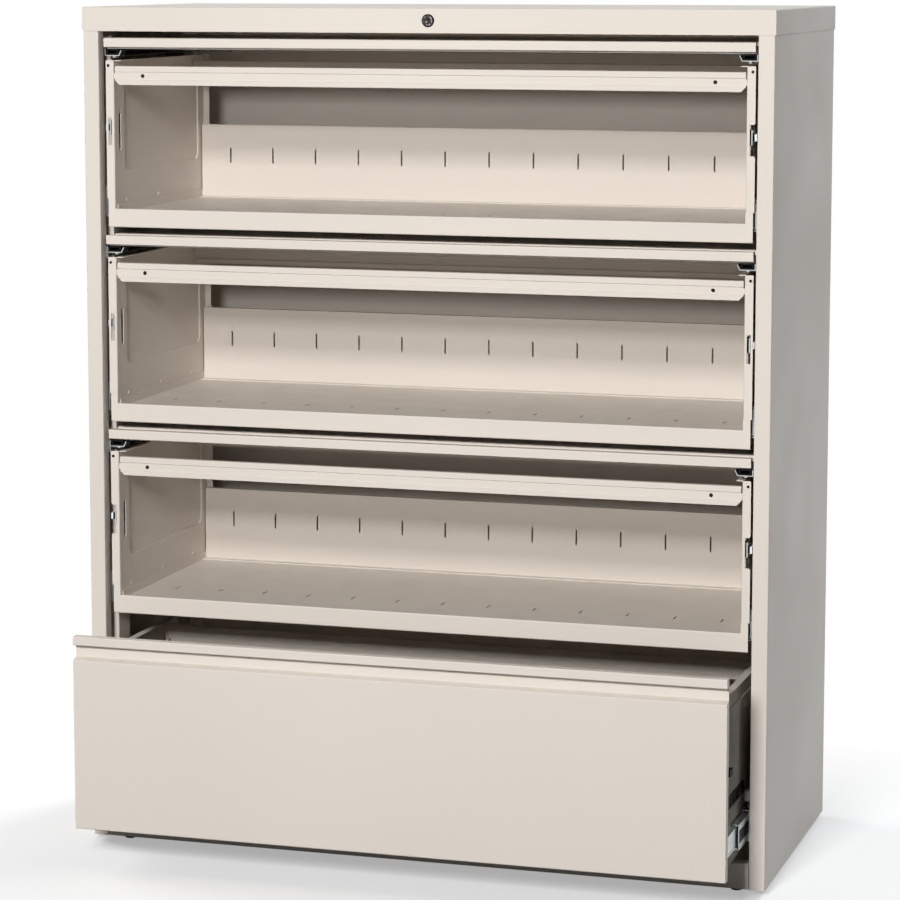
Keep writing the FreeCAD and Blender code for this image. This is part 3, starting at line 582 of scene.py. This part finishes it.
def turned(outline, places, along, across, turns):
    """Points of a turned piece: outline rows of (radius, height) go round the unit vector along,
    which starts at each place, and across is the unit vector at turn 0.
    P = place + along h + r (across cos t + side sin t)."""
    radius, height = np.array(outline, float).T
    along, across = np.array(along, float), np.array(across, float)
    side = np.cross(along, across)
    turn = full_turn(turns)[:, None]
    ring = across * np.cos(turn) + side * np.sin(turn)
    shape = along * height[:, None, None] + ring[None] * radius[:, None, None]
    return np.array(places, float)[:, None, None, :] + shape[None]


def rivet_head(radius, rise, power, edge, shares):
    """Outline of a rivet head over rings at shares of its radius R, which start at its rim:
    h = rise (1 - (r / R)^power). Its underside is flat, and its upright edge is the share edge of
    the rise."""
    rings = radius * np.array([0.0, 1.0, *shares])
    heights = rise * (1 - (rings / radius) ** power)
    heights[:2] = 0.0
    heights[2] = edge * rise
    return np.stack([rings, heights], axis=-1)


def cross_head(radius, rise):
    """Points of a screw head with a cross recess that faces the front, on rings from under its rim
    to its middle: h = rise (1 - 0.35 (r / R)^2), less the recess where min(|x|, |z|) < 0.16 R and
    r < 0.61 R."""
    shares = np.array([1.0, 1.0, 0.94, 0.8, 0.66, 0.62, 0.6, 0.45, 0.3, 0.2, 0.1, 0.0])
    rings = radius * shares[:, None]
    turn = full_turn(32)
    x, z = rings * np.cos(turn), rings * np.sin(turn)
    height = rise * (1 - 0.35 * (rings / radius) ** 2) + 0 * turn
    recess = (np.minimum(abs(x), abs(z)) < 0.16 * radius) & (rings < 0.61 * radius)
    recess_floor = 0.35 * rise
    height = np.where(recess, recess_floor, height)
    height[0] = 0.0
    height[-1] = recess_floor
    head = np.stack([-x, -height, z], axis=-1)
    return np.concatenate([np.zeros_like(head[:1]), head])


def screws(name, places, radius, rise, body, finish):
    """Screw heads that stand out to the front at the places."""
    grid = np.array(places, float)[:, None, None, :] + cross_head(radius, rise)[None]
    surface(name, grid, body, finish)


def rounded_bar(low, high, round_off):
    """Block between two corners, long in y, whose section in x and z is a superellipse of power 8:
    x = a sgn(cos t) |cos t|^(1/4), z = c sgn(sin t) |sin t|^(1/4). Near each end the section
    shrinks by round_off (1 - (1 - (1 - s)^2)^(1/2)), where s goes from 0 to 1 over round_off."""
    low, high = np.array(low, float), np.array(high, float)
    middle, half = (low + high) / 2, (high - low) / 2
    turn = full_turn(32)
    x = np.sign(np.cos(turn)) * abs(np.cos(turn)) ** 0.25
    z = np.sign(np.sin(turn)) * abs(np.sin(turn)) ** 0.25
    share = np.linspace(0, 1, 5)
    inset = round_off * (1 - np.sqrt(1 - (1 - share) ** 2))
    inset = np.concatenate([[0], inset, inset[::-1], [0]])
    y = np.concatenate([[low[1]], low[1] + round_off * share,
                        high[1] - round_off * share[::-1], [high[1]]])
    reach = np.maximum(half[[0, 2]] - inset[:, None], 0)
    reach[0] = reach[-1] = 0
    return np.stack([middle[0] + reach[:, :1] * x, y[:, None] + 0 * x,
                     middle[2] + reach[:, 1:] * z], axis=-1)


def patterned_plate(face, back, y, middle, half_height):
    """Plate across x with a pattern on its outer face, x = face[row, column], and a flat back. Its
    rows stand at the depths y, and its columns go up the face and down the back, half_height to
    either side of middle."""
    up = np.linspace(-1, 1, face.shape[1])
    around = np.concatenate([face, np.full_like(face, back)], axis=1)
    height = middle + half_height * np.concatenate([up, up[::-1]])
    grid = np.stack([around, y[:, None] + 0 * around, height + 0 * around], axis=-1)
    ends = grid[[0, -1]].mean(axis=1, keepdims=True) + 0 * grid[[0, -1]]
    return np.concatenate([ends[:1], grid, ends[1:]])


def wire(points, radius):
    """Round wire along points: rings of a circle across the direction at each point, closed at
    both ends. P = point + r (side cos t + other sin t)."""
    points = np.array(points, float)
    ahead = np.gradient(points, axis=0)
    ahead /= np.linalg.norm(ahead, axis=1)[:, None]
    runs_upright = abs(ahead[:, 2]).max() >= 0.9
    side = np.cross(ahead, (1.0, 0.0, 0.0) if runs_upright else (0.0, 0.0, 1.0))
    side /= np.linalg.norm(side, axis=1)[:, None]
    other = np.cross(ahead, side)
    turn = full_turn(12)[:, None]
    rings = radius * (side[:, None] * np.cos(turn) + other[:, None] * np.sin(turn))
    ends = [np.repeat(points[end][None, None], len(turn), axis=1) for end in (0, -1)]
    return np.concatenate([ends[0], points[:, None] + rings, ends[1]])


def body_of(row):
    """The moving body of a row's frame."""
    return "drawer" if row == DRAWER_ROW else f"rollout_{row}"


def slide_level(row):
    """The height of the middle of a row's slides."""
    return ROW_TOPS[row] - ROW_PITCH + SLIDE_RISE


# Screws and rivets

def make_frame_screws():
    """Black screws in the ears of the roll-out frames, and bronzed ones through the middle band of
    the rails."""
    ear_x, ear_drop = EAR_EDGE - 0.0042, 0.049
    rail_x, rail_setback, rail_drop = 0.4425, 0.0025, 0.0643
    for row in ROLLOUTS:
        top, front, body = ROW_TOPS[row], FRAME_FRONTS[row], body_of(row)
        ears = [(side * ear_x, front, top - ear_drop) for side in (-1, 1)]
        screws(f"{body}_ear_screws", ears, 0.0021, 0.0011, body, black_screw)
        rails = [(side * rail_x, front + rail_setback, top - rail_drop) for side in (-1, 1)]
        screws(f"{body}_rail_screws", rails, 0.0029, 0.0008, body, bronzed_screw)


def make_slide_rivets():
    """Flat rivets that hold the slides' inner members, seen inside each frame."""
    outline = rivet_head(radius=0.0035, rise=0.0009, power=4, edge=0.3,
                         shares=(1.0, 0.97, 0.9, 0.75, 0.5, 0.25, 0.0))
    for row in ROW_TOPS:
        body = body_of(row)
        for side, hand in ((-1, "left"), (1, "right")):
            places = [(side * WALL_INNER, FRAME_FRONTS[row] + depth, slide_level(row))
                      for depth in (0.045, 0.175, 0.305)]
            grid = turned(outline, places, along=(-side, 0, 0), across=(0, 1, 0), turns=20)
            surface(f"{body}_slide_rivets_{hand}", grid, body, outer_coat)


def make_back_rivets():
    """Dome rivets down the rear flanges, which hold the back sheet."""
    outline = rivet_head(radius=0.0030, rise=0.0009, power=2, edge=0.25,
                         shares=(1.0, 0.92, 0.75, 0.5, 0.25, 0.0))
    sheet, flange_x = CASE_REAR - 0.0012, 0.5245
    places = [(x, sheet, z) for x in (-flange_x, flange_x) for z in np.linspace(0.06, 1.235, 8)]
    grid = turned(outline, places, along=(0, 1, 0), across=(1, 0, 0), turns=20)
    surface("back_rivets", grid, "case", outer_coat)


# Slides

def make_slide_faces():
    """The flat zinc strip between the lips of each inner member, and the black ball retainer let
    into the web of each middle member. The retainer has a row of round windows: its face lies
    0.02 mm over the web where the distance from a window's middle is less than the window's
    radius, and otherwise 0.18 mm over it."""
    strip_inner, strip_outer = WALL_OUTER + 0.0066, WALL_OUTER + 0.0078
    strip_start, strip_end, strip_half_height = 0.012, 0.368, 0.0118
    windows, window_pitch, window_radius = 8, 0.010, 0.0026
    retainer_half_height, retainer_setback = 0.0095, 0.0015
    web = HANGING_PLANE - 0.0015
    along = np.linspace(0, 1, 161)
    up = np.linspace(-1, 1, 25)
    away = np.hypot((along[:, None] * windows % 1 - 0.5) * window_pitch,
                    up * retainer_half_height)
    face = web + np.where(away < window_radius, 0.00002, 0.00018)
    for row in ROW_TOPS:
        body, level, front = body_of(row), slide_level(row), FRAME_FRONTS[row]
        strip = rounded_bar((strip_inner, front + strip_start, level - strip_half_height),
                            (strip_outer, front + strip_end, level + strip_half_height),
                            round_off=0.0002)
        surface(f"{body}_slide_strips", both_sides(strip), body, slide_zinc)
        start = SLIDE_FRONT - (DRAWER_MIDDLE_OUT if row == DRAWER_ROW else 0) + retainer_setback
        retainer = patterned_plate(face, web, start + windows * window_pitch * along, level,
                                   retainer_half_height)
        surface(f"{body}_ball_retainers", both_sides(retainer), f"{body}_slides", black_nylon)


def make_slide_hooks():
    """Wire hooks that keep the outer members of the roll-outs' slides on the case, seen in the gap
    beside each frame: both ends stand on the member, and the long leg between them turns with
    quarter circles."""
    end_x, leg_x, depth = 0.5040, 0.5066, -0.2126
    half_height, bend = 0.0232, 0.0018
    quarter = np.linspace(0, np.pi / 2, 7)
    for row in ROLLOUTS:
        level = slide_level(row)
        upper = np.stack([leg_x - bend * (1 - np.sin(quarter)), 0 * quarter + depth,
                          level + half_height - bend * (1 - np.cos(quarter))], axis=-1)
        lower = upper[::-1] * (1, 1, -1) + (0, 0, 2 * level)
        path = np.concatenate([[(end_x, depth, level + half_height)], upper, lower,
                               [(end_x, depth, level - half_height)]])
        surface(f"rollout_{row}_slide_hooks", both_sides(wire(path, radius=0.0008)), "case",
                bracket_zinc)


# Feet

def make_feet():
    """Glides in the places of the plain ones: a moulded foot that flares from its sole to its rim,
    and a threaded stem, whose radius is R - d (1 + cos(2 pi z / pitch)) / 2."""
    corner_x, corner_y = 0.484, 0.20455
    spots = [(x, y, 0.0) for x in (-corner_x, corner_x) for y in (-corner_y, corner_y)]
    foot = [(0, 0), (0.0078, 0), (0.0086, 0.0006), (0.0090, 0.0016), (0.0095, 0.0020),
            (0.0110, 0.0048), (0.0120, 0.0066), (0.0122, 0.0074), (0.0119, 0.0079),
            (0.0072, 0.0083), (0, 0.0083)]
    feet = surface("glide_feet", turned(foot, spots, along=(0, 0, 1), across=(1, 0, 0), turns=40),
                   "case", black_nylon)
    stem_radius, thread_depth, thread_pitch = 0.0040, 0.0005, 0.00125
    height = np.linspace(foot[-1][1], 0.0318, 95)
    turn = 2 * np.pi * height / thread_pitch
    thread = stem_radius - thread_depth * (1 + np.cos(turn)) / 2
    stem = np.stack([np.pad(thread, 1), np.pad(height, 1, mode="edge")], axis=-1)
    surface("glide_stems", turned(stem, spots, along=(0, 0, 1), across=(1, 0, 0), turns=20),
            "case", bracket_zinc)
    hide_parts("leveling_glides")


# Drawer latch and interlock, seen in the gaps beside the frames

def make_latch():
    """A plate with five slots on each side of the drawer, and behind each stile a white nylon
    block on a zinc arm, with a wire spring under it. A slot takes 0.54 of its pitch and 0.55 of
    the plate's height, and the spring is 0.65 of the turn of an ellipse."""
    slots, slot_length, slot_height = 5, 0.54, 0.55
    along = np.linspace(-1, 1, 101)
    up = np.linspace(-1, 1, 25)
    off_middle = abs((along[:, None] + 1) / 2 * slots % 1 - 0.5)
    slotted = (off_middle < slot_length / 2) & (abs(up) < slot_height)
    panel = WALL_OUTER + 0.0025
    face = panel + np.where(slotted, 0.0002, 0.0014)
    plate = patterned_plate(face, panel, -0.264 + 0.052 * along, middle=0.1585,
                            half_height=0.0095)
    surface("latch_plates", both_sides(plate), "drawer", black_plate)
    block = rounded_bar((0.4965, -0.2165, 0.1370), (0.5042, -0.2000, 0.1530), round_off=0.0012)
    surface("latch_blocks", both_sides(block), "case", white_nylon)
    arm = rounded_bar((0.5042, -0.2140, 0.1390), (0.5056, -0.1880, 0.1510), round_off=0.0003)
    surface("latch_arms", both_sides(arm), "case", bracket_zinc)
    turn = np.linspace(-0.3 * np.pi, 1.0 * np.pi, 25)
    middle, reach = (0.5030, -0.2110, 0.1275), (0.0060, 0.0045)
    loop = np.stack([middle[0] + 0 * turn, middle[1] + reach[0] * np.cos(turn),
                     middle[2] + reach[1] * np.sin(turn)], axis=-1)
    surface("latch_springs", both_sides(wire(loop, radius=0.0006)), "case", bright_steel)


def make_interlock_fingers():
    """Zinc fingers that reach from the interlock straps into the gap beside the frames of the
    second and third rows."""
    fingers = [rounded_bar((0.5050, -0.21505, ROW_TOPS[row] - 0.0435),
                           (0.5090, -0.21305, ROW_TOPS[row] - 0.0255), round_off=0.0003)
               for row in (2, 3)]
    surface("interlock_fingers", both_sides(np.array(fingers)), "interlock", bracket_zinc)


make_frame_screws()
make_interlock_fingers()
make_slide_rivets()
make_back_rivets()
make_slide_faces()
make_slide_hooks()
make_feet()
make_latch()


# Floor, light and camera

def seen_rays(tree):
    """1 where the eye, a reflection or a see-through piece looks, and 0 for thrown light."""
    path = tree.nodes.new("ShaderNodeLightPath").outputs
    seen = maths(tree, "MAXIMUM", path["Is Camera Ray"], path["Is Glossy Ray"])
    return maths(tree, "MAXIMUM", seen, path["Is Transmission Ray"])


def make_floor():
    """A wide disc of pale paper under the cabinet. It glows white by the distance d outside the
    cabinet's footprint, with 0.4 of the glow at its edge and all of it half a metre out, so that
    the shadow shows near the cabinet: d = |max(|P - middle| - half, 0)|."""
    middle_y, half = -0.069, (0.533, 0.306, 0)
    turn = full_turn(96)
    rings = np.array([0.0001, 0.8, 1.6, 3.2, 8.0, 40.0])[:, None]
    grid = np.stack([rings * np.cos(turn), rings * np.sin(turn), 0 * rings * turn], axis=-1)
    floor = put_in_scene("floor", skin_over("floor", grid[None]))
    made, tree, shader = new_finish("floor_paper", Roughness=0.9, Specular_IOR_Level=0.1)
    offset = vectors(tree, "ADD", object_point(tree), (0, -middle_y, 0))
    beyond = vectors(tree, "SUBTRACT", vectors(tree, "ABSOLUTE", offset), half)
    outside = vectors(tree, "LENGTH", vectors(tree, "MAXIMUM", beyond, (0, 0, 0)))
    glow_share = plus(tree, times(tree, steps(tree, outside, 0.05, 0.50), 0.6), 0.4)
    seen = seen_rays(tree)
    paper = blend_colour(tree, noise(tree, object_point(tree), 300.0), PAPER_WHITE, PAPER_LIGHT)
    join(tree, blend_colour(tree, seen, PAPER_THROWN, paper), shader["Base Color"])
    glow = node(tree, "ShaderNodeEmission", Color=(*WHITE, 1), Strength=1.0)
    mixed = tree.nodes.new("ShaderNodeMixShader")
    join(tree, times(tree, glow_share, seen), mixed.inputs[0])
    join(tree, tree.nodes["Principled BSDF"].outputs[0], mixed.inputs[1])
    join(tree, glow.outputs[0], mixed.inputs[2])
    join(tree, mixed.outputs[0], tree.nodes["Material Output"].inputs["Surface"])
    floor.data.materials.append(made)


def make_world(strength):
    """Even, bluish white surroundings for the light, and plain white to the eye and in
    reflections."""
    world = bpy.data.worlds.new("studio")
    bpy.context.scene.world = world
    world.use_nodes = True
    tree = world.node_tree
    back = tree.nodes["Background"].inputs
    seen = seen_rays(tree)
    join(tree, plus(tree, strength, times(tree, seen, 1.0 - strength)), back["Strength"])
    join(tree, blend_colour(tree, seen, SKY_WHITE, WHITE), back["Color"])


def make_light(name, position, aim, size, power, tint):
    """A square softbox at position, turned towards aim. Gloss shows the white surroundings and not
    the box, so that no panel clips to white where a box would be mirrored in it."""
    lamp = bpy.data.lights.new(name, "AREA")
    lamp.color = tint
    lamp.size = size
    lamp.energy = power
    holder = put_in_scene(name, lamp)
    holder.location = position
    holder.visible_glossy = False
    toward = Vector(aim) - Vector(position)
    holder.rotation_euler = toward.to_track_quat("-Z", "Y").to_euler()


def make_camera():
    """The photograph's viewpoint: a long lens a little above the cap, which stands to the right
    of the middle and looks back to the left and slightly down."""
    focal_pixels, frame_pixels, sensor_millimetres = 3173.05, 900, 36
    down, aside = math.radians(7.09), math.radians(17.01)
    lens = bpy.data.cameras.new("viewpoint")
    lens.lens = focal_pixels * sensor_millimetres / frame_pixels
    lens.shift_y = -0.1
    lens.clip_end = 100
    holder = put_in_scene("viewpoint", lens)
    holder.location = (1.41426, -4.69673, 1.35763)
    holder.rotation_euler = (math.pi / 2 - down, 0, aside)
    bpy.context.scene.camera = holder


make_floor()
make_world(0.035)
make_light("front_softbox", (0.1, -4.8, 2.5), aim=(0, 0, 0.72), size=1.0, power=258, tint=WHITE)
make_light("right_softbox", (2.1, 5.8, 2.7), aim=(0, 0, 0.7), size=1.2, power=430,
           tint=(0.93, 0.97, 1.0))
make_light("top_softbox", (0.0, 0.6, 4.4), aim=(0, 0, 1.3), size=2.4, power=3,
           tint=(0.78, 0.89, 1.0))
make_light("left_softbox", (-4.2, 1.6, 2.6), aim=(0, 0, 0.7), size=2.2, power=105, tint=WHITE)
make_camera()
bpy.context.scene.view_settings.view_transform = "Standard"
